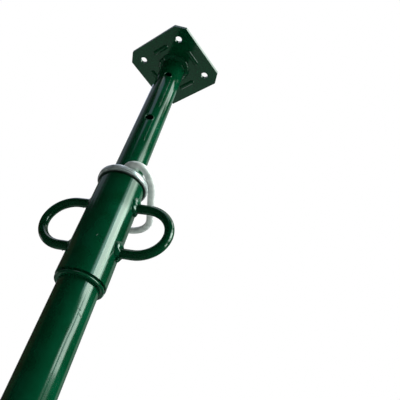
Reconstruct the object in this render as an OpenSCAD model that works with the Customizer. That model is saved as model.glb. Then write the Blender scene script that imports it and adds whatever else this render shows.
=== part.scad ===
// Adjustable steel prop with a covered thread, standing on its base plate.
// Origin: centre of the base plate's underside. +Z up, millimetres.

/* [End plates] */
// Side of the square end plates
plate_side = 118; // [100:1:150]
// Thickness of the end plates
plate_t = 5; // [3:0.5:8]
// Length cut off each corner, along the plate's side
plate_chamfer = 14; // [6:1:22]
// Distance between neighbouring bolt holes
bolt_pitch = 75; // [68:1:84]
// Diameter of the bolt holes
bolt_hole_d = 11; // [8:0.5:14]
// Diameter of the drain hole in the middle of each plate
drain_hole_d = 16; // [8:1:26]
// Distance of each pressed rib from the plate's centre
rib_offset = 38; // [35:0.5:44]
// Length of a pressed rib, round ends included
rib_length = 30; // [16:1:40]
// Width of a pressed rib
rib_width = 8; // [5:0.5:10]
// Height of a pressed rib above the plate
rib_height = 2.5; // [1:0.25:3.5]
// Leg of the round weld between plate and tube
weld_leg = 4; // [2:0.5:6]

/* [Outer tube] */
// Outside diameter of the outer tube
outer_d = 48.3; // [46:0.1:49]
// Wall of the outer tube
outer_wall = 2.9; // [2.5:0.1:3.1]
// Length of the outer tube
outer_length = 900; // [850:10:2000]

/* [Inner tube] */
// Room round the inner tube in the outer tube's bore
guide_gap = 1.25; // [1:0.05:2]
// Wall of the inner tube
inner_wall = 2.6; // [2:0.1:3.2]
// Length of the inner tube
inner_length = 880; // [840:10:1900]
// How much wider than the pin its holes are
pin_play = 3; // [2:0.5:5]
// Distance from the head plate's underside to the first pin hole
first_hole = 49; // [40:1:60]
// Distance between pin holes
hole_pitch = 110; // [90:1:120]
// Number of pin holes
hole_count = 7; // [4:1:7]
// Which pin hole the pin stands in, counted from the head
hole_used = 3; // [2:1:4]
// Length of the widened end that guides the inner tube
flare_length = 16; // [10:1:30]

/* [Screw sleeve] */
// Room between the collar and the sleeve's bore, which the thread fills
thread_depth = 2; // [1.5:0.1:3]
// Wall of the sleeve
sleeve_wall = 2.9; // [2.6:0.1:3]
// Length of the sleeve with its end ring
sleeve_length = 150; // [148:1:170]
// Height of the round bead on the end ring
bead_height = 5; // [4:0.5:7]
// Groove between the bead and the sleeve
bead_groove = 1; // [0.5:0.25:2]
// Length of the end ring's spigot inside the sleeve
spigot_length = 4; // [3:0.5:5]
// Pitch of the thread
thread_pitch = 8; // [7:0.5:10]
// Width of a thread ridge at its foot
ridge_foot = 3; // [2.2:0.1:3]
// Width of a thread ridge at its crest
ridge_crest = 2; // [1:0.1:2]
// Height of the threaded collar on the outer tube
collar_length = 34; // [30:1:34]
// Wall of the threaded collar under its thread
collar_wall = 0.9; // [0.7:0.05:1.1]
// Thickness of the collar's lip over the end of the outer tube
lip_t = 1.5; // [1:0.25:1.75]

/* [Handles] */
// Diameter of the handle bar
handle_bar_d = 12; // [9:0.5:14]
// Distance of the upper handle arm below the top of the sleeve
handle_drop = 31; // [24:1:36]
// Radius of the round end, on the bar's centre line
handle_bend_r = 34; // [28:1:38]
// How far the handle stands out from the sleeve, on the bar's centre line
handle_out = 50.5; // [42:0.5:65]
// Angle of the first handle round the tube
handle_angle = -60; // [-80:1:-40]
// Foot of the weld round each handle arm, beyond the bar
handle_weld = 3.5; // [2:0.25:5]

/* [Thrust ring and pin] */
// How far the thrust ring stands out past the sleeve
ring_over = 4; // [2:0.25:5]
// Thickness of the thrust ring
ring_t = 12; // [10:0.5:14]
// Radius of the ring's rounded edges
ring_round = 4.5; // [2:0.25:5]
// Diameter of the pin
pin_d = 10; // [8:0.5:10.5]
// How far the pin's tip stands out past the thrust ring
pin_out = 4; // [1:0.5:8]
// How deep in the inner tube's wall the pin's tight bend starts
pin_bend_in = 2.5; // [0:0.5:4]
// Radius of the pin's tight bend
pin_bend_r = 15; // [14:0.5:18]
// Angle of the tight bend
pin_bend_angle = 153; // [150:1:156]
// How far outside the thrust ring's edge the pin's arm starts, on its centre line
pin_arm_gap = 2.7; // [2.3:0.1:5]
// Angle of the wide bend
pin_wide_angle = 23; // [20:1:24]
// Straight length of the arm beside the sleeve
pin_arm = 61; // [56:1:66]
// Radius of the hook behind the sleeve
pin_hook_r = 42; // [40:1:46]
// Angle of the hook
pin_hook_angle = 80; // [60:1:84]
// How far the pin's arm hangs below level
pin_sag = 3; // [0:0.5:3]

/* [Hidden] */
$fn = 96;

// Clearances
seat = 0.3;          // between pieces that rest on each other across a joint
slide_gap = 0.3;     // round a tube that slides
fit_gap = 0.05;      // round a ring that is pressed or welded on
ring_play = 1;       // round the inner tube, in the thrust ring's bore
skin_gap = 0.02;     // between a thread or a weld and what carries it
cut = 1;             // how far a cutting tool runs past what it cuts
bend_into = 0.3;     // how far a bend runs into the straight bar at its ends
bend_step = 0.02;    // how much thinner than the straight bar a bend is
bend_rest = 1;       // the straight between two bends, or between a bend and a tip
tip_cut = 0.3;       // chamfer on a bar's end, as a share of its radius

// Radii
outer_r = outer_d / 2;
outer_bore_r = outer_r - outer_wall;
inner_r = outer_bore_r - guide_gap;
collar_r = outer_r + fit_gap + collar_wall;
sleeve_bore_r = collar_r + thread_depth;
sleeve_r = sleeve_bore_r + sleeve_wall;
ring_bore_r = inner_r + ring_play;
ring_r = sleeve_r + ring_over;
pin_r = pin_d / 2;
pin_hole_r = pin_r + pin_play / 2;
bar_r = handle_bar_d / 2;
thread_gap = 0.35;   // between a thread's crest and the other piece's root
bead_inset = 0.2;    // how far the end ring's bead lies inside the sleeve's outside
weld_root = 2;       // how deep a handle's weld starts, inside the sleeve's curve
weld_edge = 0.5;     // how thick a handle's weld ends, on the bar

// Heights, from the floor up
sleeve_over = 2;     // how far the closed sleeve stands above the outer tube
tube_top = plate_t + outer_length;
collar_top = tube_top + lip_t;
collar_bottom = tube_top - collar_length;
sleeve_top = tube_top + sleeve_over;
sleeve_bottom = sleeve_top - sleeve_length;
ring_bottom = sleeve_top + seat;
ring_top = ring_bottom + ring_t;
pin_z = ring_top + seat + pin_r;
hole_z = pin_z + pin_r + seat - pin_hole_r;
head_z = hole_z + first_hole + (hole_used - 1) * hole_pitch;
inner_bottom = head_z - inner_length;

// The thread
thread_steps = 36;   // straight pieces in one turn of a ridge
thread_end = 1;      // plain length past each end of a thread
facet_fit = 1 / cos(180 / thread_steps);
collar_turns = (collar_length - ridge_foot - 2 * thread_end) / thread_pitch;
collar_thread_z = collar_bottom + thread_end + ridge_foot / 2;
ridge_shift = (ridge_foot + ridge_crest) / 2 + seat;
thread_low = sleeve_bottom + bead_height + spigot_length + thread_end + ridge_foot / 2;
sleeve_turns_down = floor((collar_thread_z + ridge_shift - thread_low) / thread_pitch);
sleeve_thread_z = collar_thread_z + ridge_shift - sleeve_turns_down * thread_pitch;
sleeve_turns = (sleeve_top - thread_end - ridge_foot / 2 - sleeve_thread_z) / thread_pitch;

// Angles round the tube
pin_angle = -135;    // the pin points along the plates' diagonal
handle_straight = sleeve_r + handle_out - handle_bend_r;
handle_z = sleeve_top - handle_drop;
handle_low_z = handle_z - 2 * handle_bend_r;

// The pin: its wide bend ends where the arm is clear of the thrust ring's edge
pin_back = ring_r + pin_out;
pin_front = inner_r - pin_bend_in;
pin_arm_y = ring_r + pin_arm_gap;
pin_bend_y = pin_bend_r * (1 - cos(pin_bend_angle));
pin_wide_r = (pin_arm_y - pin_bend_y) / (cos(pin_bend_angle) - cos(pin_bend_angle + pin_wide_angle));

green = "#004a26";
zinc = "#c4c8c8";

// ---------- building blocks ----------

// A tube standing on the floor of its own frame
module tube(r, bore_r, h) {
    difference() {
        cylinder(r = r, h = h);
        translate([0, 0, -cut]) cylinder(r = bore_r, h = h + 2 * cut);
    }
}

// A round bead of weld in the corner between a round bar of radius r and the plane z = 0
module corner_weld(r, leg) {
    rotate_extrude() intersection() {
        translate([r, 0]) circle(r = leg, $fn = 48);
        translate([r, 0]) square([leg + cut, leg + cut]);
    }
}

// One raised or sunk rib: a bar with round ends whose top stands rib_height above z = 0
module rib_form() {
    r = (rib_width * rib_width / 4 + rib_height * rib_height) / (2 * rib_height);
    end_x = rib_length / 2 - rib_width / 2;
    translate([0, 0, rib_height - r]) {
        translate([-end_x, 0, 0]) rotate([0, 90, 0]) cylinder(r = r, h = 2 * end_x, $fn = 64);
        for (side = [-1, 1]) translate([side * end_x, 0, 0]) sphere(r = r, $fn = 64);
    }
}

// The four ribs of a plate, kept above z = low
module four_ribs(low) {
    intersection() {
        for (turn = [0 : 90 : 270]) rotate([0, 0, turn]) translate([0, rib_offset, 0]) rib_form();
        translate([-plate_side / 2, -plate_side / 2, low])
            cube([plate_side, plate_side, rib_height + cut - low]);
    }
}

// An end plate: its flat side on z = 0. The ribs are pressed, so they stand up on the tube's side
// and are sunk into the flat one.
module end_plate() {
    half = plate_side / 2;
    e = half - plate_chamfer;
    difference() {
        union() {
            linear_extrude(plate_t) polygon([[half, -e], [half, e], [e, half], [-e, half],
                [-half, e], [-half, -e], [-e, -half], [e, -half]]);
            translate([0, 0, plate_t]) four_ribs(-plate_t / 2);
        }
        four_ribs(-cut);
        for (x = [-1, 1], y = [-1, 1]) translate([x * bolt_pitch / 2, y * bolt_pitch / 2, -cut])
            cylinder(d = bolt_hole_d, h = plate_t + 2 * cut, $fn = 48);
        translate([0, 0, -cut]) cylinder(d = drain_hole_d, h = plate_t + 2 * cut, $fn = 64);
    }
}

// A thread ridge wound up from z = 0, right-handed; its foot is on foot_r, its crest on crest_r
module ridge(foot_r, crest_r, turns) {
    count = floor(turns * thread_steps);
    profile = [[foot_r, -ridge_foot / 2], [crest_r, -ridge_crest / 2],
        [crest_r, ridge_crest / 2], [foot_r, ridge_foot / 2]];
    points = [for (i = [0 : count], p = profile)
        let (a = 360 * i / thread_steps)
        [p[0] * cos(a), p[0] * sin(a), p[1] + thread_pitch * i / thread_steps]];
    sides = [for (i = [0 : count - 1], k = [0 : 3])
        let (a = 4 * i + k, b = 4 * i + (k + 1) % 4)
        each [[a, a + 4, b + 4], [a, b + 4, b]]];
    ends = [[0, 1, 2], [0, 2, 3], [4 * count + 2, 4 * count + 1, 4 * count],
        [4 * count + 3, 4 * count + 2, 4 * count]];
    faces = concat(sides, ends);
    outward = crest_r > foot_r;
    polyhedron(points, outward ? faces : [for (f = faces) [f[2], f[1], f[0]]]);
}

// A straight stretch of round bar along +X; what follows starts at its end
module straight(r, length) {
    rotate([0, 90, 0]) cylinder(r = r, h = length, $fn = 48);
    translate([length, 0, 0]) children();
}

// A bend of round bar that turns left in the XY plane; what follows starts at its end.
// It is a hair thinner than the straights, and runs a little way into the one at each end.
module bend(r, bend_r, turn) {
    into = 360 * bend_into / (2 * PI * bend_r);
    translate([0, bend_r, 0]) {
        rotate([0, 0, -90 - into]) rotate_extrude(angle = turn + 2 * into)
            translate([bend_r, 0]) circle(r = r - bend_step, $fn = 48);
        rotate([0, 0, turn]) translate([0, -bend_r, 0]) children();
    }
}

// A chamfered end of round bar
module tip(r) {
    rotate([0, 90, 0]) cylinder(r1 = r, r2 = r * (1 - tip_cut), h = r * tip_cut, $fn = 48);
}

// ---------- fixed part ----------

module base_plate() {
    color(green) end_plate();
}

module base_weld() {
    color(green) translate([0, 0, plate_t]) corner_weld(outer_r, weld_leg);
}

module outer_tube() {
    color(green) translate([0, 0, plate_t]) tube(outer_r, outer_bore_r, outer_length);
}

// The collar on the end of the outer tube: it carries the thread, and its lip keeps the inner tube in
module thread_collar() {
    bore_r = outer_r + fit_gap;
    color(zinc) rotate_extrude() polygon([[bore_r, collar_bottom], [collar_r, collar_bottom],
        [collar_r, collar_top], [inner_r + slide_gap, collar_top],
        [inner_r + slide_gap, tube_top], [bore_r, tube_top]]);
}

module collar_thread() {
    color(zinc) translate([0, 0, collar_thread_z])
        ridge((collar_r + skin_gap) * facet_fit, sleeve_bore_r - thread_gap, collar_turns);
}

module collar_weld() {
    leg = collar_r - outer_r;
    color(zinc) translate([0, 0, collar_bottom]) mirror([0, 0, 1]) corner_weld(outer_r, leg);
}

// ---------- screw sleeve ----------

module sleeve_tube() {
    z = sleeve_bottom + bead_height + bead_groove;
    color(green) translate([0, 0, z]) tube(sleeve_r, sleeve_bore_r, sleeve_top - z);
}

module sleeve_thread() {
    color(zinc) translate([0, 0, sleeve_thread_z])
        ridge(sleeve_bore_r - skin_gap, collar_r + thread_gap, sleeve_turns);
}

// The ring that closes the sleeve's lower end: a round bead outside, a spigot in the bore
module end_ring() {
    bore_r = outer_r + slide_gap;
    bead_out = min(bead_height, sleeve_r - bead_inset - bore_r - fit_gap);
    bead_r = sleeve_r - bead_inset - bead_out;
    spigot_top = bead_height + bead_groove + spigot_length;
    color(green) translate([0, 0, sleeve_bottom]) rotate_extrude() {
        intersection() {
            translate([bead_r, bead_height]) circle(r = bead_out, $fn = 64);
            translate([bead_r, bead_height - bead_out]) square([bead_out, bead_out]);
        }
        translate([bore_r, 0]) square([bead_r - bore_r, bead_height]);
        translate([bore_r, 0]) square([sleeve_bore_r - fit_gap - bore_r, spigot_top]);
    }
}

// One handle: two arms welded to the sleeve and a half-round end between them
module handle() {
    difference() {
        translate([0, 0, handle_z]) rotate([-90, 0, 0])
            straight(bar_r, handle_straight) bend(bar_r, handle_bend_r, 180)
                straight(bar_r, handle_straight);
        translate([0, 0, sleeve_bottom]) cylinder(r = sleeve_r + fit_gap, h = sleeve_length);
    }
}

// The weld round a handle's arm at height z: a cone out along the arm, cut to the sleeve's curve
module arm_weld(z) {
    foot_x = sleeve_r - weld_root;
    length = weld_root + handle_weld + weld_root;
    difference() {
        translate([foot_x, 0, z]) rotate([0, 90, 0])
            cylinder(r1 = bar_r + handle_weld, r2 = bar_r + weld_edge, h = length, $fn = 48);
        translate([foot_x - cut, 0, z]) rotate([0, 90, 0])
            cylinder(r = bar_r + skin_gap, h = length + 2 * cut, $fn = 48);
        translate([0, 0, sleeve_bottom]) cylinder(r = sleeve_r + fit_gap, h = sleeve_length);
    }
}

// Turns a handle's part to its side of the sleeve: 0 for the right one, 180 for the left one
module on_side(turn) {
    rotate([0, 0, handle_angle + turn]) children();
}

module handle_right() {
    color(green) on_side(0) handle();
}

module handle_left() {
    color(green) on_side(180) handle();
}

module handle_right_upper_weld() {
    color(green) on_side(0) arm_weld(handle_z);
}

module handle_right_lower_weld() {
    color(green) on_side(0) arm_weld(handle_low_z);
}

module handle_left_upper_weld() {
    color(green) on_side(180) arm_weld(handle_z);
}

module handle_left_lower_weld() {
    color(green) on_side(180) arm_weld(handle_low_z);
}

// ---------- thrust ring ----------

module thrust_ring() {
    width = ring_r - ring_bore_r;
    color(zinc) translate([0, 0, ring_bottom]) rotate_extrude() translate([ring_bore_r, 0]) {
        translate([0, ring_round]) square([width, ring_t - 2 * ring_round]);
        translate([ring_round, 0]) square([width - 2 * ring_round, ring_t]);
        for (x = [ring_round, width - ring_round], y = [ring_round, ring_t - ring_round])
            translate([x, y]) circle(r = ring_round, $fn = 64);
    }
}

// ---------- inner tube ----------

module inner_tube() {
    color(green) difference() {
        union() {
            translate([0, 0, inner_bottom]) cylinder(r = inner_r, h = inner_length);
            translate([0, 0, inner_bottom]) cylinder(r = outer_bore_r - slide_gap, h = flare_length);
        }
        translate([0, 0, inner_bottom - cut]) cylinder(r = inner_r - inner_wall, h = inner_length + 2 * cut);
        for (i = [0 : hole_count - 1]) translate([0, 0, head_z - first_hole - i * hole_pitch])
            rotate([0, 0, pin_angle]) rotate([0, 90, 0])
                cylinder(r = pin_hole_r, h = 2 * (inner_r + cut), center = true, $fn = 48);
    }
}

module head_plate() {
    color(green) translate([0, 0, head_z + plate_t]) mirror([0, 0, 1]) end_plate();
}

module head_weld() {
    color(green) translate([0, 0, head_z]) mirror([0, 0, 1]) corner_weld(inner_r, weld_leg);
}

// ---------- pin ----------

// The shank runs through the tube along +X; the arm comes back beside the sleeve and hooks behind it
module locking_pin() {
    color(zinc) translate([0, 0, pin_z]) rotate([0, 0, pin_angle]) rotate([-pin_sag, 0, 0]) {
        translate([-pin_back, 0, 0]) {
            rotate([0, 0, 180]) tip(pin_r);
            straight(pin_r, pin_back + pin_front)
                bend(pin_r, pin_bend_r, pin_bend_angle)
                    straight(pin_r, bend_rest)
                        bend(pin_r, pin_wide_r, pin_wide_angle)
                            straight(pin_r, pin_arm)
                                bend(pin_r, pin_hook_r, pin_hook_angle)
                                    straight(pin_r, bend_rest)
                                        tip(pin_r);
        }
    }
}

base_plate();
base_weld();
outer_tube();
thread_collar();
collar_thread();
collar_weld();
sleeve_tube();
sleeve_thread();
end_ring();
handle_right();
handle_left();
handle_right_upper_weld();
handle_right_lower_weld();
handle_left_upper_weld();
handle_left_lower_weld();
thrust_ring();
inner_tube();
head_plate();
head_weld();
locking_pin();
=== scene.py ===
"""Adjustable steel prop: the finish of its pieces, its end ring, welds, paint build-up and wear.

The file is laid out as an add-on: the settings are property groups, each group of like pieces is an
operator, and main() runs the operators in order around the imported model.
"""

import math
import random

import bmesh
import bpy
from mathutils import Matrix, Vector, noise


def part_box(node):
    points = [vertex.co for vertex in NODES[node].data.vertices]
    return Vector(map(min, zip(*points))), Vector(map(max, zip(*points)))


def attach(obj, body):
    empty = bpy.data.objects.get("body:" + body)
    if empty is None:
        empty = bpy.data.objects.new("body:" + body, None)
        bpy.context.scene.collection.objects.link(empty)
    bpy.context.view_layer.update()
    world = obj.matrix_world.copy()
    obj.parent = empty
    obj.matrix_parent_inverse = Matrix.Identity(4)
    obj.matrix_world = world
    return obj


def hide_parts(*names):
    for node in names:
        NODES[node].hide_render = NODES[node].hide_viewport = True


bl_info = {
    "name": "Adjustable steel prop",
    "version": (1, 0, 0),
    "blender": (4, 5, 0),
    "location": "3D View > Sidebar > Steel Prop",
    "description": "Finishes an adjustable steel prop and sets up its studio",
    "category": "Add Mesh",
}

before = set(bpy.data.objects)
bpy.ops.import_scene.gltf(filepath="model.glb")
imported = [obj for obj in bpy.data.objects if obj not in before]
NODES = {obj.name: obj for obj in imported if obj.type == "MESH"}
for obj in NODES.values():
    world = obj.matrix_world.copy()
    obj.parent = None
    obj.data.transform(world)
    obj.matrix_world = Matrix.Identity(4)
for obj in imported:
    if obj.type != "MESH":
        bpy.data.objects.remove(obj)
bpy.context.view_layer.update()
MM = 0.001


# ---------- places taken from the frame ----------

def corners(node):
    """Lowest and highest corner of a node at rest."""
    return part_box(node)


PLATE_RIB = 2.5 * MM        # how far the end plates' ribs stand out, towards the tubes
HEAD_Z = corners("head_plate")[0].z + PLATE_RIB     # the head plate's underside
BASE_Z = corners("base_plate")[1].z - PLATE_RIB     # the base plate's top
SLEEVE_R = corners("sleeve_tube")[1].x
OUTER_R = corners("outer_tube")[1].x
INNER_R = 20.0 * MM
HOLE_R = 6.5 * MM           # the inner tube's pin holes
HOLE_AZIMUTH = math.radians(-135)       # the way that the pin is pulled out
HOLE_COUNT = 7
FIRST_HOLE = 49 * MM        # the top hole's distance from the head plate's underside
HOLE_PITCH = 110 * MM
HOLE_HEIGHTS = [HEAD_Z - (FIRST_HOLE + HOLE_PITCH * i) for i in range(HOLE_COUNT)]
HOLE_USED = 2               # the hole that the pin is in, where the top one is 0


def arm_places():
    """Where each handle's arm meets the sleeve: weld node, azimuth, height and the bar's radius."""
    for side in ("right", "left"):
        bar_top = corners("handle_" + side)[1].z
        upper_arm = sum(corner.z for corner in corners("handle_%s_upper_weld" % side)) / 2
        for arm in ("upper", "lower"):
            node = "handle_%s_%s_weld" % (side, arm)
            low, high = corners(node)
            middle = (low + high) / 2
            yield node, math.atan2(middle.y, middle.x), middle.z, bar_top - upper_arm


# ---------- settings ----------

class PROP_PG_finish(bpy.types.PropertyGroup):
    paint: bpy.props.StringProperty(
        name="Paint", description="Colour of the green enamel, as sRGB hex", default="#00341c")
    paint_light: bpy.props.StringProperty(
        name="Thin paint", description="Colour of the enamel where the film is thin, as sRGB hex",
        default="#02422a")
    zinc: bpy.props.StringProperty(
        name="Zinc", description="Colour of the bright zinc plating, as sRGB hex", default="#dde6e6")
    galvanised: bpy.props.StringProperty(
        name="Galvanised", description="Colour of the pin's hot-dip zinc, as sRGB hex",
        default="#eceeec")
    scuffs: bpy.props.FloatProperty(
        name="Scuffs", description="How much of the paint is scuffed from handling",
        subtype="FACTOR", default=0.15, min=0.0, max=1.0)
    scratches: bpy.props.IntProperty(
        name="Scratches", description="How many fine scratches the outer tube has below the sleeve",
        default=12, min=0)


class PROP_PG_sizes(bpy.types.PropertyGroup):
    bead_r: bpy.props.FloatProperty(
        name="Bead radius", description="Radius of the round bead of the sleeve's end ring",
        unit="LENGTH", precision=4, default=2.1 * MM, min=0.5 * MM)
    plate_weld_width: bpy.props.FloatProperty(
        name="Plate weld width", description="Mean width of an end plate's weld, along the plate",
        unit="LENGTH", precision=4, default=6.4 * MM, min=3 * MM)
    plate_weld_height: bpy.props.FloatProperty(
        name="Plate weld height", description="Mean height of an end plate's weld, along the tube",
        unit="LENGTH", precision=4, default=5.6 * MM, min=3 * MM)
    arm_weld_width: bpy.props.FloatProperty(
        name="Arm weld width", description="Mean width of a handle's weld on the sleeve, below its arm",
        unit="LENGTH", precision=4, default=4.6 * MM, min=3.5 * MM)
    arm_weld_height: bpy.props.FloatProperty(
        name="Arm weld height", description="Mean height of a handle's weld, along its arm",
        unit="LENGTH", precision=4, default=4.2 * MM, min=3 * MM)
    ripple: bpy.props.FloatProperty(
        name="Weld ripple", description="Length of one ripple of an end plate's weld",
        unit="LENGTH", precision=4, default=4.5 * MM, min=1 * MM)
    lip_r: bpy.props.FloatProperty(
        name="Lip radius", description="Radius of the lip of paint on the edge of a pin hole",
        unit="LENGTH", precision=4, default=0.8 * MM, min=0.4 * MM)


class PROP_PG_studio(bpy.types.PropertyGroup):
    key: bpy.props.FloatProperty(
        name="Key window", description="Brightness of the tall window that draws the highlight",
        default=8.5, min=0.0)
    cool: bpy.props.FloatProperty(
        name="Cool cards", description="Brightness of the bluish cards on the left",
        default=0.25, min=0.0)
    warm: bpy.props.FloatProperty(
        name="Warm card", description="Brightness of the low brownish card on the left",
        default=0.06, min=0.0)
    side: bpy.props.FloatProperty(
        name="Broad lamps", description="Brightness of the broad lamps, which draw no highlight",
        default=4.6, min=0.0)
    top: bpy.props.FloatProperty(
        name="Top card", description="Brightness of the card overhead", default=0.9, min=0.0)
    back: bpy.props.FloatProperty(
        name="Back cards", description="Brightness of the cards behind, which draw the edges",
        default=0.36, min=0.0)
    edge: bpy.props.FloatProperty(
        name="Edge card", description="Brightness of the small card that the head plate's edge mirrors",
        default=3.2, min=0.0)
    low: bpy.props.FloatProperty(
        name="Low cards", description="Brightness of the low cards that draw glints on welds and handles",
        default=5.0, min=0.0)
    ambient: bpy.props.FloatProperty(
        name="Ambient", description="Brightness of the plain light all round", default=0.07, min=0.0)
    floor_colour: bpy.props.StringProperty(
        name="Floor", description="Colour of the studio floor, as sRGB hex", default="#babcbc")


class PROP_PG_camera(bpy.types.PropertyGroup):
    place: bpy.props.FloatVectorProperty(
        name="Camera place", description="Where the camera stands", subtype="TRANSLATION",
        unit="LENGTH", default=(-0.2488, -0.3862, 0.5387))
    aim: bpy.props.FloatVectorProperty(
        name="Camera aim", description="A point that the camera looks at", subtype="TRANSLATION",
        unit="LENGTH", default=(0.0317, -0.0246, 0.9060))
    roll: bpy.props.FloatProperty(
        name="Camera roll", description="How far the camera is turned about its own line of sight",
        subtype="ANGLE", default=math.radians(20.408))
    lens: bpy.props.FloatProperty(
        name="Lens", description="Focal length for a 36 mm frame, in millimetres", unit="CAMERA",
        default=40.785)
    shift_x: bpy.props.FloatProperty(
        name="Shift", description="Sideways shift of the frame, as a share of its width",
        default=0.125)


# ---------- materials ----------

def linear(code):
    """An sRGB hex colour as linear red, green, blue and alpha."""
    parts = [int(code[i:i + 2], 16) / 255 for i in (1, 3, 5)]
    return tuple(c / 12.92 if c <= 0.04045 else ((c + 0.055) / 1.055) ** 2.4 for c in parts) + (1.0,)


def add(tree, kind, settings=None, links=None):
    """Adds a node: settings go to its own properties or its sockets, links join its sockets to outputs."""
    node = tree.nodes.new(kind)
    for name, value in (settings or {}).items():
        if isinstance(name, str) and hasattr(node, name):
            setattr(node, name, value)
        else:
            node.inputs[name].default_value = value
    for name, output in (links or {}).items():
        tree.links.new(output, node.inputs[name])
    return node


def new_material(name):
    """A material with an empty node tree, and that tree."""
    material = bpy.data.materials.new(name)
    material.use_nodes = True
    material.node_tree.nodes.clear()
    return material, material.node_tree


def finish_material(tree, shader):
    """Joins the shader to the material's output."""
    add(tree, "ShaderNodeOutputMaterial", links={"Surface": shader.outputs[0]})


def ramp(tree, factor, stops):
    """A colour ramp over factor, with (place, value) stops of plain grey or hex colours."""
    node = add(tree, "ShaderNodeValToRGB", links={"Fac": factor})
    elements = node.color_ramp.elements
    while len(elements) < len(stops):
        elements.new(0.5)
    for element, (place, value) in zip(elements, stops):
        element.position = place
        element.color = linear(value) if isinstance(value, str) else (value, value, value, 1.0)
    return node.outputs["Color"]


def per_metre(size_mm):
    """The scale of a noise texture whose patches are about size_mm across."""
    return 1000.0 / size_mm


THIN_PATCH_MM = 35          # patches where the film of enamel is thinner
SCUFF_LINE_MM = 1.4         # width of a scuff's lines
SCUFF_PATCH_MM = 22         # patches that are rubbed
ALONG_SCUFF = 0.05          # a scuff's lines are 1 / 0.05 = 20 times as long as wide
DIMPLE_MM = 3               # orange peel
WAVE_MM = 14                # slow waves of a pressed or bent surface
DRAWN_WAVE_MM = 6           # waves of a drawn tube
ALONG_WAVE = 0.08           # a drawn tube's waves are 1 / 0.08 times as long as wide, or 75 mm
WORN_PAINT = "#6d8a7b"


def green_enamel(name, paint, thin, scuffs, roughness=0.12, peel=0.03, drawn=True):
    """Gloss enamel on mild steel, dipped: deep green, with orange peel, thin spots and small scuffs. On a
    drawn tube the skin has long shallow waves, which break the highlight into streaks."""
    material, tree = new_material(name)
    where = add(tree, "ShaderNodeTexCoord").outputs["Object"]
    patch = add(tree, "ShaderNodeTexNoise", {"Scale": per_metre(THIN_PATCH_MM), "Detail": 3.0},
                {"Vector": where})
    thickness = ramp(tree, patch.outputs["Fac"], [(0.35, 0.0), (0.68, 1.0)])
    film = add(tree, "ShaderNodeMix", {"data_type": "RGBA", 6: linear(paint), 7: linear(thin)},
               {0: thickness})
    # Scuffs run along the tube, in patches
    stretched = add(tree, "ShaderNodeMapping", {"Scale": (1.0, 1.0, ALONG_SCUFF)}, {"Vector": where})
    lines = add(tree, "ShaderNodeTexNoise", {"Scale": per_metre(SCUFF_LINE_MM), "Detail": 2.0},
                {"Vector": stretched.outputs[0]})
    spots = add(tree, "ShaderNodeTexNoise", {"Scale": per_metre(SCUFF_PATCH_MM), "Detail": 4.0},
                {"Vector": where})
    line_mask = ramp(tree, lines.outputs["Fac"], [(0.70, 0.0), (0.76, 1.0)])
    spot_mask = ramp(tree, spots.outputs["Fac"], [(0.60, 0.0), (0.70, scuffs)])
    scuff = add(tree, "ShaderNodeMath", {"operation": "MULTIPLY"}, {0: line_mask, 1: spot_mask})
    worn = add(tree, "ShaderNodeMix", {"data_type": "RGBA", 7: linear(WORN_PAINT)},
               {0: scuff.outputs[0], 6: film.outputs[2]})
    gloss = add(tree, "ShaderNodeMapRange", {"From Max": 1.0, "To Min": roughness, "To Max": 0.5},
                {"Value": scuff.outputs[0]})
    # The skin has the dimples of orange peel on top of slow waves
    dimples = add(tree, "ShaderNodeTexNoise", {"Scale": per_metre(DIMPLE_MM), "Detail": 2.0},
                  {"Vector": where})
    wave_place, wave_mm = where, WAVE_MM
    if drawn:
        along = add(tree, "ShaderNodeMapping", {"Scale": (1.0, 1.0, ALONG_WAVE)}, {"Vector": where})
        wave_place, wave_mm = along.outputs[0], DRAWN_WAVE_MM
    waves = add(tree, "ShaderNodeTexNoise", {"Scale": per_metre(wave_mm), "Detail": 2.0},
                {"Vector": wave_place})
    height = add(tree, "ShaderNodeMath", {"operation": "MULTIPLY_ADD", 1: 0.1},
                 {0: dimples.outputs["Fac"], 2: waves.outputs["Fac"]})
    bump = add(tree, "ShaderNodeBump", {"Strength": peel, "Distance": 2 * MM},
               {"Height": height.outputs[0]})
    shader = add(tree, "ShaderNodeBsdfPrincipled",
                 {"IOR": 1.5, "Specular Tint": linear("#ecfff5"), "Coat Weight": 0.4,
                  "Coat Roughness": 0.06, "Coat IOR": 1.5},
                 {"Base Color": worn.outputs[2], "Roughness": gloss.outputs[0],
                  "Normal": bump.outputs[0]})
    finish_material(tree, shader)
    return material


ZINC_CLOUD_MM = 9
# Near-black colour painted on the faces of a zinc piece that look down, as painted shade
UNDERSIDE_SHADE_COLOUR = "#06100c"


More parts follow.
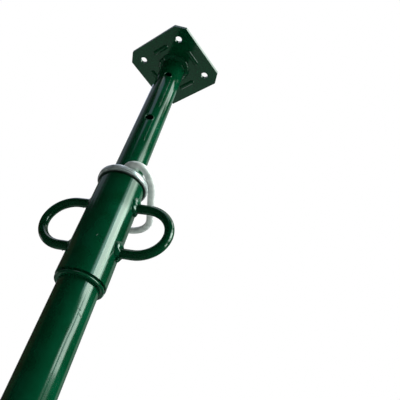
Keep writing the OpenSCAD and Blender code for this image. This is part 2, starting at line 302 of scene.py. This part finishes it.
def zinc_plate(name, colour, dark, metallic, roughness, brush_mm, stretch, grain=0.12, shaded_underside=False):
    """Zinc-plated steel: bright grey metal with fine turning or drawing marks and cloudy patches; its dull
    skin of zinc salts scatters light, so it isn't all metal. A piece can have the faces that look down
    painted near-black, as painted shade under it."""
    material, tree = new_material(name)
    where = add(tree, "ShaderNodeTexCoord").outputs["Object"]
    cloud = add(tree, "ShaderNodeTexNoise", {"Scale": per_metre(ZINC_CLOUD_MM), "Detail": 5.0},
                {"Vector": where})
    tone = ramp(tree, cloud.outputs["Fac"], [(0.3, dark), (0.62, colour)])
    stretched = add(tree, "ShaderNodeMapping", {"Scale": stretch}, {"Vector": where})
    marks = add(tree, "ShaderNodeTexNoise", {"Scale": per_metre(brush_mm), "Detail": 3.0},
                {"Vector": stretched.outputs[0]})
    rough = add(tree, "ShaderNodeMapRange",
                {"From Min": 0.3, "From Max": 0.7, "To Min": roughness - 0.08,
                 "To Max": roughness + 0.12}, {"Value": marks.outputs["Fac"]})
    bump = add(tree, "ShaderNodeBump", {"Strength": grain, "Distance": 0.6 * MM},
               {"Height": marks.outputs["Fac"]})
    shader = add(tree, "ShaderNodeBsdfPrincipled", {"Metallic": metallic},
                 {"Base Color": tone, "Roughness": rough.outputs[0], "Normal": bump.outputs[0]})
    # Painted shade: the faces that look down are blended into the near-black colour
    if shaded_underside:
        facing = add(tree, "ShaderNodeSeparateXYZ",
                     links={"Vector": add(tree, "ShaderNodeNewGeometry").outputs["Normal"]})
        painted_shade = add(tree, "ShaderNodeBsdfPrincipled",
                    {"Base Color": linear(UNDERSIDE_SHADE_COLOUR), "Roughness": 0.4})
        under = add(tree, "ShaderNodeMapRange", {"From Min": -0.55, "From Max": -0.9},
                    {"Value": facing.outputs["Z"]})
        shader = add(tree, "ShaderNodeMixShader",
                     links={0: under.outputs[0], 1: shader.outputs[0], 2: painted_shade.outputs[0]})
    finish_material(tree, shader)
    return material


SCRATCH_GRIT_MM = 0.8


def undercoat(name):
    """Dull undercoat bared by a scratch: a matt grey-green, mottled where steel shows through."""
    material, tree = new_material(name)
    where = add(tree, "ShaderNodeTexCoord").outputs["Object"]
    grit = add(tree, "ShaderNodeTexNoise", {"Scale": per_metre(SCRATCH_GRIT_MM), "Detail": 2.0},
               {"Vector": where})
    tone = ramp(tree, grit.outputs["Fac"], [(0.4, "#2f4a3d"), (0.6, "#5c7367")])
    shader = add(tree, "ShaderNodeBsdfPrincipled", {"Roughness": 0.7}, {"Base Color": tone})
    finish_material(tree, shader)
    return material


def dress(material, *nodes):
    """Puts one material on CAD nodes."""
    for node in nodes:
        mesh = NODES[node].data
        mesh.materials.clear()
        mesh.materials.append(material)


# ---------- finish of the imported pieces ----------

class PROP_OT_enamel(bpy.types.Operator):
    """Paint the tubes, plates, sleeve and handles with green enamel"""
    bl_idname = "steel_prop.enamel"
    bl_label = "Enamel"

    def execute(self, context):
        look = context.scene.prop_finish
        # Enamel on drawn tube: a wet, deep gloss whose highlight breaks into long streaks
        tube = green_enamel("tube_enamel", look.paint, look.paint_light, look.scuffs)
        dress(tube, "outer_tube", "sleeve_tube", "inner_tube")
        # Enamel on bent bar: an even deep green, with more orange peel to break up its glints
        bar = green_enamel("bar_enamel", look.paint, look.paint, scuffs=0.1, peel=0.04, drawn=False)
        dress(bar, "handle_right", "handle_left")
        # Enamel on pressed plate: a little duller, and the most scuffed, as the plates take the knocks
        pressed = green_enamel("pressed_plate_enamel", look.paint, look.paint, scuffs=0.5,
                               roughness=0.14, drawn=False)
        dress(pressed, "head_plate", "base_plate")
        return {"FINISHED"}


class PROP_OT_zinc(bpy.types.Operator):
    """Plate the thrust ring, the locking pin and the hidden thread with zinc"""
    bl_idname = "steel_prop.zinc"
    bl_label = "Zinc"

    def execute(self, context):
        look = context.scene.prop_finish
        # Turned and plated ring: turning marks 1.6 mm apart spread its shine into soft bands, and its
        # underside is painted near-black as shade
        turned = zinc_plate("turned_zinc_ring", look.zinc, dark="#b5c0c0", metallic=0.6, roughness=0.25,
                            brush_mm=1.6, stretch=(0.1, 0.1, 1.0), grain=0.5, shaded_underside=True)
        # Hot-dip galvanised bar: pale and satin, with a fine even grain
        dipped = zinc_plate("galvanised_bar", look.galvanised, dark="#ccd2d0", metallic=0.3,
                            roughness=0.4, brush_mm=2.0, stretch=(1.0, 1.0, 1.0), grain=0.06)
        # Machined steel: darker and more metallic, with fine tool marks
        machined = zinc_plate("machined_thread_steel", "#a4a7a6", dark="#6f7372", metallic=0.9,
                              roughness=0.3, brush_mm=0.4, stretch=(0.2, 0.2, 1.0))
        dress(turned, "thrust_ring")
        dress(dipped, "locking_pin")
        dress(machined, "thread_collar", "collar_thread", "collar_weld", "sleeve_thread")
        return {"FINISHED"}


# ---------- shapes ----------

def turns(count):
    """Angles at equal steps once round a circle."""
    return [2 * math.pi * i / count for i in range(count)]


def directions(azimuth):
    """The way straight out of the tube at an azimuth, and the level way across it."""
    return (Vector((math.cos(azimuth), math.sin(azimuth), 0)),
            Vector((-math.sin(azimuth), math.cos(azimuth), 0)))


def solid_of_rings(name, rings, body, material, wrap):
    """A closed skin over rings of points, joined in order: wrap joins the last ring to the first, and
    otherwise the two end rings are capped."""
    bm = bmesh.new()
    grid = [[bm.verts.new(point) for point in ring] for ring in rings]
    pairs = list(zip(grid, grid[1:] + grid[:1])) if wrap else list(zip(grid, grid[1:]))
    for this, following in pairs:
        for i in range(len(this)):
            j = (i + 1) % len(this)
            bm.faces.new((this[i], this[j], following[j], following[i]))
    if not wrap:
        bm.faces.new(list(reversed(grid[0])))
        bm.faces.new(grid[-1])
    bmesh.ops.recalc_face_normals(bm, faces=bm.faces)
    mesh = bpy.data.meshes.new(name)
    bm.to_mesh(mesh)
    bm.free()
    for face in mesh.polygons:
        face.use_smooth = True
    mesh.materials.append(material)
    piece = bpy.data.objects.new(name, mesh)
    bpy.context.scene.collection.objects.link(piece)
    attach(piece, body)
    return piece


def lumps(place, size, shift=0.0):
    """Smooth noise between about -1 and 1, with lumps of that size; shift picks another pattern."""
    return noise.noise(place / size + Vector((shift, shift, 0)))


# ---------- end ring ----------

RING_STEPS = 144            # sections round the ring
BEAD_STEPS = 16             # steps over its bead
BEAD_INSET = 0.6 * MM       # how far the bead lies inside the ring's outside
SPIGOT_R = 27.05 * MM       # outside and bore of the ring's spigot
SPIGOT_BORE_R = OUTER_R + 0.3 * MM
CREASE_DEGREES = 40         # the ring's edges sharper than this stay crisp


class PROP_OT_end_ring(bpy.types.Operator):
    """Roll the ring under the sleeve to a full round bead, with its spigot in the sleeve's bore"""
    bl_idname = "steel_prop.end_ring"
    bl_label = "End ring"

    def execute(self, context):
        bead_r = context.scene.prop_sizes.bead_r
        low, high = corners("end_ring")
        centre_r = high.x - BEAD_INSET - bead_r
        profile = [(centre_r + bead_r * math.sin(turn), low.z + bead_r * (1 - math.cos(turn)))
                   for turn in (math.pi * i / BEAD_STEPS for i in range(BEAD_STEPS + 1))]
        profile += [(SPIGOT_R, low.z + 2 * bead_r), (SPIGOT_R, high.z), (SPIGOT_BORE_R, high.z),
                    (SPIGOT_BORE_R, low.z)]
        rings = [[Vector((r * math.cos(angle), r * math.sin(angle), z)) for r, z in profile]
                 for angle in turns(RING_STEPS)]
        tube = bpy.data.materials["tube_enamel"]
        piece = solid_of_rings("end_ring_bead", rings, "sleeve", tube, wrap=True)
        piece.data.set_sharp_from_angle(angle=math.radians(CREASE_DEGREES))
        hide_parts("end_ring")
        return {"FINISHED"}


# ---------- welds ----------

PLATE_WELD_STEPS = 192      # sections round an end plate's weld
ARM_WELD_STEPS = 96         # sections round a handle's weld
FACE_STEPS = 8              # steps across a weld's face
WELD_SUNK = 0.3 * MM        # how deep a weld's edges lie in the steel
PLATE_BULGE = 0.8 * MM      # mean bulge of an end plate's weld
PLATE_LUMP = 1.6 * MM       # how far lumps move its edges
PLATE_LUMP_BULGE = 0.5 * MM
PLATE_CREST = 0.3 * MM      # height of its ripples
RIPPLE_SWAY = 0.1           # how unevenly they follow each other, in radians
PLATE_WIDTH_LUMPS = 9 * MM  # sizes of the lumps in its width, in its height and in its ripples' spacing
PLATE_HEIGHT_LUMPS = 11 * MM
SWAY_LUMPS = 14 * MM
ARM_TOP = 4.4 * MM          # how much wider a handle's weld is above the arm, where it was laid
ARM_LUMP_WIDTH = 3.0 * MM   # how far lumps move its edge on the sleeve, its edge on the arm and its face
ARM_LUMP_HEIGHT = 2.6 * MM
ARM_LUMP_BULGE = 2.4 * MM
ARM_BULGE = 0.4 * MM        # its mean bulge
ARM_WIDTH_LUMPS = 5.5 * MM  # sizes of the lumps in its width and in its height
ARM_HEIGHT_LUMPS = 5 * MM


def weld_section(corner, first_toe, second_toe, bulge):
    """A weld's cross-section: a bulging face between its two toes and a root sunk in the corner."""
    out = ((first_toe + second_toe) / 2 - corner).normalized()
    face = [first_toe.lerp(second_toe, i / FACE_STEPS) + out * bulge * math.sin(math.pi * i / FACE_STEPS)
            for i in range(FACE_STEPS + 1)]
    face[0] -= out * WELD_SUNK
    face[-1] -= out * WELD_SUNK
    return face + [corner - out * WELD_SUNK]


def ripple(angle, radius, length):
    """The ripples of the weld pool, of that length round a weld of that radius, between 0 and 1."""
    count = round(2 * math.pi * radius / length)
    return 0.5 + 0.5 * math.cos(angle * count)


def plate_weld(name, node, radius, z, up, body, sizes, material):
    """The weld between a tube and a plate whose face is at z; up is 1 or -1, away from the plate."""
    rings = []
    for angle in turns(PLATE_WELD_STEPS):
        spoke = directions(angle)[0]
        corner = spoke * radius + Vector((0, 0, z))
        wave = lumps(corner, PLATE_WIDTH_LUMPS)
        sway = RIPPLE_SWAY * lumps(corner, SWAY_LUMPS, 7.0)
        crest = PLATE_CREST * ripple(angle + sway, radius, sizes.ripple)
        width = sizes.plate_weld_width + PLATE_LUMP * wave + crest
        height = sizes.plate_weld_height + PLATE_LUMP * lumps(corner, PLATE_HEIGHT_LUMPS, 5.0) + crest
        bulge = PLATE_BULGE + crest + PLATE_LUMP_BULGE * wave
        rings.append(weld_section(corner, corner + spoke * width, corner + Vector((0, 0, up * height)),
                                  bulge))
    piece = solid_of_rings(name, rings, body, material, wrap=True)
    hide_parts(node)


def arm_weld(node, azimuth, z, bar_r, sizes, material):
    """The weld round a handle's arm: wide on the sleeve, most of all above the arm."""
    radial, across = directions(azimuth)

    def on_sleeve(distance, angle):
        side, rise = distance * math.cos(angle), distance * math.sin(angle)
        depth = math.sqrt(SLEEVE_R ** 2 - side ** 2)
        return radial * depth + across * side + Vector((0, 0, z + rise))

    rings = []
    for angle in turns(ARM_WELD_STEPS):
        corner = on_sleeve(bar_r, angle)
        wave = lumps(corner, ARM_WIDTH_LUMPS)
        width = sizes.arm_weld_width + ARM_TOP * max(0.0, math.sin(angle)) ** 2 + ARM_LUMP_WIDTH * wave
        height = sizes.arm_weld_height + ARM_LUMP_HEIGHT * lumps(corner, ARM_HEIGHT_LUMPS, 3.0)
        bulge = ARM_BULGE + ARM_LUMP_BULGE * wave
        rings.append(weld_section(corner, on_sleeve(bar_r + width, angle), corner + radial * height,
                                  bulge))
    piece = solid_of_rings(node + "_bead", rings, "sleeve", material, wrap=True)
    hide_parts(node)


class PROP_OT_welds(bpy.types.Operator):
    """Lay the weld beads round the tubes' ends and the handles' arms"""
    bl_idname = "steel_prop.welds"
    bl_label = "Welds"

    def execute(self, context):
        look = context.scene.prop_finish
        sizes = context.scene.prop_sizes
        # Enamel over a weld: the film pools in the ripples and shines on the crests
        material = green_enamel("weld_enamel", look.paint, look.paint_light, scuffs=0.2, drawn=False)
        plate_weld("head_weld_bead", "head_weld", INNER_R, HEAD_Z, -1, "inner", sizes, material)
        plate_weld("base_weld_bead", "base_weld", OUTER_R, BASE_Z, 1, "base", sizes, material)
        for node, azimuth, z, bar_r in arm_places():
            arm_weld(node, azimuth, z, bar_r, sizes, material)
        return {"FINISHED"}


# ---------- paint build-up ----------

LIP_STEPS = 48              # sections round a hole's lip
LIP_SIDES = 8
LIP_PROUD = 0.35 * MM       # how far a lip stands out of the tube
LIP_UNEVEN = 0.3            # share of its radius by which it varies, in lumps of this size
LIP_LUMPS = 4 * MM
STRIP_STEPS = 60            # sections along a strip
STRIP_SIDES = 16
STRIP_SUNK = 0.2 * MM       # how deep a strip's back lies in the tube
STRIP_TIP = 0.02 * MM       # half the width that a strip keeps at its ends
SWELL_PLACE = 0.95          # where a swollen strip's bead is, as a share of its length
SWELL_LENGTH = 0.06         # the bead's own share of that length
DRIP_STEPS = 9
DRIP_SIDES = 12
DRIP_TIP = 0.05 * MM        # radius that a drip keeps at its tip

# Runs of paint from the two top holes: degrees round the tube from the hole, length and width
PAINT_RUNS = ((19, 78 * MM, 2.0 * MM), (17, 46 * MM, 1.6 * MM))
RUN_START = 3 * MM          # below the middle of the hole
RUN_PROUD = 0.3 * MM
RUN_SWELL = 0.8
# Drips under each arm: name, distance from the sleeve, height from the bar's underside, radius and length
DRIPS = (("foot_drip", 1.6 * MM, -2.4 * MM, 1.8 * MM, 5.5 * MM),
         ("bar_drip", 9 * MM, 0.3 * MM, 1.1 * MM, 3.0 * MM))


def hole_lip(name, azimuth, z, lip_r, material):
    """The rounded lip of paint on the edge of a pin hole, a thin ring bent round the tube."""
    radial, across = directions(azimuth)
    rings = []
    for angle in turns(LIP_STEPS):
        side, rise = HOLE_R * math.cos(angle), HOLE_R * math.sin(angle)
        depth = math.sqrt(INNER_R ** 2 - side ** 2)
        edge = radial * depth + across * side + Vector((0, 0, z + rise))
        out = (radial * depth + across * side).normalized()
        away = (across * math.cos(angle) + Vector((0, 0, math.sin(angle)))).normalized()
        away = (away - out * away.dot(out)).normalized()
        thick = lip_r * (1 + LIP_UNEVEN * lumps(edge, LIP_LUMPS))
        middle = edge - out * (lip_r - LIP_PROUD)
        rings.append([middle + (away * math.cos(turn) + out * math.sin(turn)) * thick
                      for turn in turns(LIP_SIDES)])
    solid_of_rings(name, rings, "inner", material, wrap=True)


def strip(name, radius, azimuth, top, length, width, proud, body, material, tilt=0.0, swell=0.0):
    """A thin raised strip on a tube, going down from its top end; tilt turns it from straight down, and
    swell makes it thicken to a bead at its foot."""
    rings = []
    for i in range(STRIP_STEPS + 1):
        share = i / STRIP_STEPS
        end = math.sqrt(max(0.0, 1 - (2 * share - 1) ** 8))     # both ends close in
        bead = 1 + swell * math.exp(-((share - SWELL_PLACE) / SWELL_LENGTH) ** 2)
        half = max(width / 2 * bead * end, STRIP_TIP)
        rise = proud * bead * end
        along = length * share
        ring = []
        for place in turns(STRIP_SIDES):
            aside = half * math.cos(place)
            angle = azimuth + (along * math.sin(tilt) + aside * math.cos(tilt)) / radius
            z = top - along * math.cos(tilt) + aside * math.sin(tilt)
            front = math.sin(place) > 0.01      # the two sides count as back
            depth = radius + (rise if front else STRIP_SUNK) * math.sin(place)
            ring.append(Vector((depth * math.cos(angle), depth * math.sin(angle), z)))
        rings.append(ring)
    solid_of_rings(name, rings, body, material, wrap=False)


def paint_drip(name, place, radius, length, body, material):
    """A drop of paint that set as it hung: it swells below its neck and closes to a tip."""
    rings = []
    for i in range(DRIP_STEPS + 1):
        share = i / DRIP_STEPS
        wide = radius * (1 - share) ** 0.35 * (0.75 + 0.45 * math.sin(math.pi * min(1.0, share * 1.6)))
        centre = place + Vector((0, 0, 0.3 * length - length * share))
        rings.append([centre + directions(turn)[0] * max(wide, DRIP_TIP) for turn in turns(DRIP_SIDES)])
    solid_of_rings(name, rings, body, material, wrap=False)


class PROP_OT_paint_build_up(bpy.types.Operator):
    """Add the lips of paint round the pin holes, the runs under them and the drips under the handles"""
    bl_idname = "steel_prop.paint_build_up"
    bl_label = "Paint build-up"

    def execute(self, context):
        look = context.scene.prop_finish
        lip_r = context.scene.prop_sizes.lip_r
        # Thick enamel, pooled on edges before it set: the deepest gloss on the prop
        material = green_enamel("pooled_enamel", look.paint, look.paint_light, scuffs=0.0,
                                roughness=0.08, drawn=False)
        for i, z in enumerate(HOLE_HEIGHTS):
            if i == HOLE_USED:
                continue
            for side, turn in (("front", 0.0), ("back", math.pi)):
                hole_lip("hole_%d_%s_lip" % (i + 1, side), HOLE_AZIMUTH + turn, z, lip_r, material)
        for i, (aside, length, width) in enumerate(PAINT_RUNS):
            strip("hole_%d_paint_run" % (i + 1), INNER_R, HOLE_AZIMUTH + math.radians(aside),
                  HOLE_HEIGHTS[i] - RUN_START, length, width, RUN_PROUD, "inner", material,
                  swell=RUN_SWELL)
        for node, azimuth, z, bar_r in arm_places():
            radial = directions(azimuth)[0]
            for drip, out, rise, radius, length in DRIPS:
                place = radial * (SLEEVE_R + out) + Vector((0, 0, z - bar_r)) + Vector((0, 0, rise))
                paint_drip("%s_%s" % (node, drip), place, radius, length, "sleeve", material)
        return {"FINISHED"}


# ---------- wear ----------

# Nicks: name, the tube's radius, body, azimuth in degrees, height, length, width, how far the edge stands
# out of the paint, and tilt in degrees
NICKS = (("outer_tube_nick_1", OUTER_R, "base", -104, 725.5 * MM, 5.0 * MM, 1.3 * MM, 0.15 * MM, 82),
         ("outer_tube_nick_2", OUTER_R, "base", -96, 721 * MM, 6.0 * MM, 1.3 * MM, 0.15 * MM, 68),
         ("sleeve_nick", SLEEVE_R, "sleeve", -129.5, 811 * MM, 3.2 * MM, 0.9 * MM, 0.12 * MM, -20))
SCRATCH_SEED = 5
SCRATCH_WIDTH = 0.35 * MM
SCRATCH_PROUD = 0.06 * MM
SCRATCH_AZIMUTHS = (-105, -92)          # degrees
SCRATCH_HEIGHTS_MM = (650, 684)
SCRATCH_LENGTHS_MM = (1.5, 4.0)
SCRATCH_TILTS = (10, 70)                # degrees


class PROP_OT_wear(bpy.types.Operator):
    """Add the nicks and scratches in the paint of the tubes"""
    bl_idname = "steel_prop.wear"
    bl_label = "Wear"

    def execute(self, context):
        material = undercoat("scratched_paint")
        for name, radius, body, azimuth, z, length, width, proud, tilt in NICKS:
            strip(name, radius, math.radians(azimuth), z, length, width, proud, body, material,
                  tilt=math.radians(tilt))
        scatter = random.Random(SCRATCH_SEED)
        for i in range(context.scene.prop_finish.scratches):
            azimuth = math.radians(scatter.uniform(*SCRATCH_AZIMUTHS))
            z = scatter.uniform(*SCRATCH_HEIGHTS_MM) * MM
            length = scatter.uniform(*SCRATCH_LENGTHS_MM) * MM
            tilt = math.radians(scatter.uniform(*SCRATCH_TILTS))
            strip("outer_tube_scratch_%d" % (i + 1), OUTER_R, azimuth, z, length, SCRATCH_WIDTH,
                  SCRATCH_PROUD, "base", material, tilt=tilt)
        return {"FINISHED"}


# ---------- stage ----------

FLOOR_SIZE = 16.0
FLOOR_WHITENS = 0.25        # distances from the prop at which the floor starts and ends turning white
FLOOR_WHITE = 1.3
# The floor glows round this point in the prop's reflections only: a painted pool of light
FLOOR_LIT = (0.57, 0.80)    # the middle of the lit part of the floor that the head plate mirrors


def make_floor(studio):
    """A pale floor to the camera, which whitens away from the prop; on the prop it throws less light, as a
    grey one does, and in the prop's reflections it shows a painted glow in place of lamplight."""
    bpy.ops.mesh.primitive_plane_add(size=FLOOR_SIZE, location=(0, 0, 0))
    floor = bpy.context.object
    floor.name = "studio_floor"
    # Matt paint on a studio floor: a soft grey with no shine, which fades into the background
    material, tree = new_material("matt_studio_floor")
    path = add(tree, "ShaderNodeLightPath")
    pale = add(tree, "ShaderNodeBsdfDiffuse", {"Color": linear(studio.floor_colour)})
    grey = add(tree, "ShaderNodeBsdfDiffuse", {"Color": linear("#8b8e8c")})
    where = add(tree, "ShaderNodeTexCoord").outputs["Object"]
    reach = add(tree, "ShaderNodeVectorMath", {"operation": "LENGTH"}, {0: where})
    far = add(tree, "ShaderNodeMapRange",
              {"interpolation_type": "SMOOTHSTEP", "From Min": FLOOR_WHITENS, "From Max": FLOOR_WHITE},
              {"Value": reach.outputs["Value"]})
    white = add(tree, "ShaderNodeEmission", {"Color": (1, 1, 1, 1)})
    shown = add(tree, "ShaderNodeMixShader",
                links={0: far.outputs[0], 1: pale.outputs[0], 2: white.outputs[0]})
    # What the prop mirrors of it: a painted glow, not lamplight, brightest round FLOOR_LIT
    away = add(tree, "ShaderNodeVectorMath", {"operation": "DISTANCE", 1: (*FLOOR_LIT, 0.0)}, {0: where})
    lit = ramp(tree, away.outputs["Value"], [(0.1, "#8fa89b"), (0.5, "#6b7f74"), (1.1, "#33443c")])
    painted_floor_glow = add(tree, "ShaderNodeEmission", links={"Color": lit})
    seen = add(tree, "ShaderNodeMixShader",
               links={0: path.outputs["Is Camera Ray"], 1: grey.outputs[0], 2: shown.outputs[0]})
    glossy = add(tree, "ShaderNodeMixShader",
                 links={0: path.outputs["Is Glossy Ray"], 1: seen.outputs[0], 2: painted_floor_glow.outputs[0]})
    finish_material(tree, glossy)
    floor.data.materials.append(material)


def make_world(scene, studio):
    """White to the camera, and dim to all else, as a hall with its lights off."""
    world = bpy.data.worlds.new("studio")
    world.use_nodes = True
    tree = world.node_tree
    tree.nodes.clear()
    path = add(tree, "ShaderNodeLightPath")
    soft, dark, white = [add(tree, "ShaderNodeBackground", {"Color": (1, 1, 1, 1), "Strength": strength})
                         for strength in (studio.ambient, 0.01, 1.0)]
    lit = add(tree, "ShaderNodeMixShader",
              links={0: path.outputs["Is Glossy Ray"], 1: soft.outputs[0], 2: dark.outputs[0]})
    mixed = add(tree, "ShaderNodeMixShader",
                links={0: path.outputs["Is Camera Ray"], 1: lit.outputs[0], 2: white.outputs[0]})
    add(tree, "ShaderNodeOutputWorld", links={"Surface": mixed.outputs[0]})
    scene.world = world


CAMERA_AZIMUTH = -122.8     # degrees, where the lamps' azimuths start
LIGHT_RANGE = 4.0           # how far the lamps stand from the prop
LIT_Z = 0.95                # the height that they are turned to
KEY_TINT = "#f4fff8"
COOL_TINT = "#dfe9ff"
BLUE_TINT = "#cfdcff"
WARM_TINT = "#c9a878"
BACK_TINT = "#e4fff2"


def softbox(name, azimuth, width, rise, height, brightness, colour="#ffffff", shiny=True):
    """A lamp of that brightness (radiance), seen from the prop at an azimuth from the camera's and at an
    elevation; width and height are the angles that it spans. All angles are in degrees. One that isn't
    shiny draws no highlight."""
    turn, lift = math.radians(CAMERA_AZIMUTH + azimuth), math.radians(rise)
    across, up = [2 * LIGHT_RANGE * math.tan(math.radians(angle) / 2) for angle in (width, height)]
    lamp = bpy.data.lights.new(name, "AREA")
    lamp.shape = "RECTANGLE"
    lamp.size, lamp.size_y = across, up
    lamp.energy = brightness * math.pi * across * up
    lamp.color = linear(colour)[:3]
    obj = bpy.data.objects.new(name, lamp)
    away = Vector((math.cos(turn) * math.cos(lift), math.sin(turn) * math.cos(lift), math.sin(lift)))
    obj.location = Vector((0, 0, LIT_Z)) + away * LIGHT_RANGE
    obj.rotation_euler = (-away).to_track_quat("-Z", "Y").to_euler()
    obj.visible_glossy = shiny
    bpy.context.scene.collection.objects.link(obj)


# The key is a tall window in panes, whose curtains let the light through in stripes: name, from and to in
# degrees, share of the brightness, and colour.
UPPER_STRIPES = (
    ("haze", -27, -22, 0.06, "#d6f2ff"),
    ("left_edge", -22, -11, 0.32, "#d2f8f6"),
    ("wide", -11, 10, 0.92, "#f4fff8"),
    ("bar", 10, 14.5, 0.62, "#f2f8e8"),
    ("narrow", 14.5, 21.5, 0.96, "#ecfff4"),
    ("right_edge", 21.5, 29, 0.42, "#defff0"),
)
LOWER_STRIPES = (
    ("haze", -14, -8, 0.08, "#d6f2ff"),
    ("narrow", -8, -1, 0.95, "#effff6"),
    ("bar", -1, 6, 0.25, "#dfe6f4"),
    ("wide", 6, 24, 1.0, "#f4fff8"),
    ("right_edge", 24, 29, 0.3, "#defff0"),
)
# Its panes from the top down: name, middle azimuth, share of the stripes' width, elevation, height, share
# of the brightness, and stripes.
KEY_PANES = (
    ("top", 50, 0.5, 47.5, 7, 0.28, UPPER_STRIPES),
    ("upper", 48, 0.9, 40, 8, 0.5, UPPER_STRIPES),
    ("middle", 48, 1.0, 29, 14, 1.2, UPPER_STRIPES),
    ("low", 50, 1.0, 19.3, 5.4, 0.8, LOWER_STRIPES),
    ("lowest", 46, 1.0, 13.9, 5.4, 0.8, LOWER_STRIPES),
    ("foot", 44, 1.0, 5.6, 11.2, 0.09, LOWER_STRIPES),
)


def make_lights(studio):
    """The key window, the cards that the enamel and the zinc mirror, and the broad lamps."""
    for pane, middle, share, rise, height, level, stripes in KEY_PANES:
        for stripe, start, end, fade, colour in stripes:
            softbox("key_%s_%s" % (pane, stripe), middle + share * (start + end) / 2, share * (end - start),
                    rise, height, studio.key * level * fade, colour)
    softbox("plate_edge_card", 70, 22, 58, 12, studio.edge, KEY_TINT)
    softbox("low_card", 62, 34, -2, 9, studio.low, KEY_TINT)
    softbox("high_right_lamp", 100, 50, 68, 40, studio.side * 0.9, shiny=False)
    softbox("back_low_left", -132, 26, -5, 16, studio.low * 0.15)
    softbox("back_low_right", 150, 20, -2, 20, studio.low * 0.25)
    softbox("back_lamp", 180, 70, 35, 50, studio.side * 0.5, shiny=False)
    softbox("side_lamp", 80, 46, 32, 50, studio.side, shiny=False)
    softbox("top_card", 0, 60, 82, 36, studio.top)
    softbox("cool_card", -119, 30, 52, 34, studio.cool, COOL_TINT)
    softbox("cool_card_edge", -94, 20, 52, 34, studio.cool * 0.35, COOL_TINT)
    softbox("cool_high_card", -95, 80, 71, 16, studio.cool * 3, BLUE_TINT)
    softbox("warm_card", -117, 43, 15, 30, studio.warm, WARM_TINT)
    softbox("right_near_card", 132, 22, 30, 60, studio.back, BACK_TINT)
    softbox("right_far_card", 158, 22, 30, 60, studio.back * 0.5, BACK_TINT)
    softbox("left_back_card", -165, 21, 30, 60, studio.back * 0.6)


def make_camera(scene, view):
    """A camera low beside the prop, which looks up at its head and is turned about its line of sight."""
    data = bpy.data.cameras.new("camera")
    data.lens = view.lens
    data.shift_x = view.shift_x
    camera = bpy.data.objects.new("camera", data)
    place, aim = Vector(view.place), Vector(view.aim)
    looking = (aim - place).to_track_quat("-Z", "Y").to_matrix().to_4x4()
    camera.matrix_world = Matrix.Translation(place) @ looking @ Matrix.Rotation(view.roll, 4, "Z")
    scene.collection.objects.link(camera)
    scene.camera = camera


class PROP_OT_stage(bpy.types.Operator):
    """Set up the floor, the white background, the lights and the camera"""
    bl_idname = "steel_prop.stage"
    bl_label = "Stage"

    def execute(self, context):
        scene = context.scene
        make_floor(scene.prop_studio)
        make_world(scene, scene.prop_studio)
        make_lights(scene.prop_studio)
        make_camera(scene, scene.prop_camera)
        scene.view_settings.view_transform = "Standard"
        return {"FINISHED"}


# ---------- panel and registration ----------

# The steps in the order in which main() runs them; the end ring takes the tubes' enamel
STEPS = (PROP_OT_stage, PROP_OT_enamel, PROP_OT_end_ring, PROP_OT_zinc, PROP_OT_welds,
         PROP_OT_paint_build_up, PROP_OT_wear)
GROUPS = (("prop_finish", "Finish", PROP_PG_finish), ("prop_sizes", "Sizes", PROP_PG_sizes),
          ("prop_studio", "Studio", PROP_PG_studio), ("prop_camera", "Camera", PROP_PG_camera))


class PROP_PT_panel(bpy.types.Panel):
    """Lists the prop's settings and steps"""
    bl_label = "Steel Prop"
    bl_idname = "PROP_PT_panel"
    bl_space_type = "VIEW_3D"
    bl_region_type = "UI"
    bl_category = "Steel Prop"

    def draw(self, context):
        for pointer, title, group in GROUPS:
            box = self.layout.box()
            box.label(text=title)
            for name in group.__annotations__:
                box.prop(getattr(context.scene, pointer), name)
        for step in STEPS:
            self.layout.operator(step.bl_idname)


CLASSES = tuple(group for _, _, group in GROUPS) + STEPS + (PROP_PT_panel,)


def register():
    for cls in CLASSES:
        bpy.utils.register_class(cls)
    for pointer, _, group in GROUPS:
        setattr(bpy.types.Scene, pointer, bpy.props.PointerProperty(type=group))


def unregister():
    for pointer, _, _ in reversed(GROUPS):
        delattr(bpy.types.Scene, pointer)
    for cls in reversed(CLASSES):
        bpy.utils.unregister_class(cls)


def main():
    register()
    bpy.ops.steel_prop.stage()
    bpy.ops.steel_prop.enamel()
    bpy.ops.steel_prop.end_ring()
    bpy.ops.steel_prop.zinc()
    bpy.ops.steel_prop.welds()
    bpy.ops.steel_prop.paint_build_up()
    bpy.ops.steel_prop.wear()


if __name__ == "__main__":
    main()
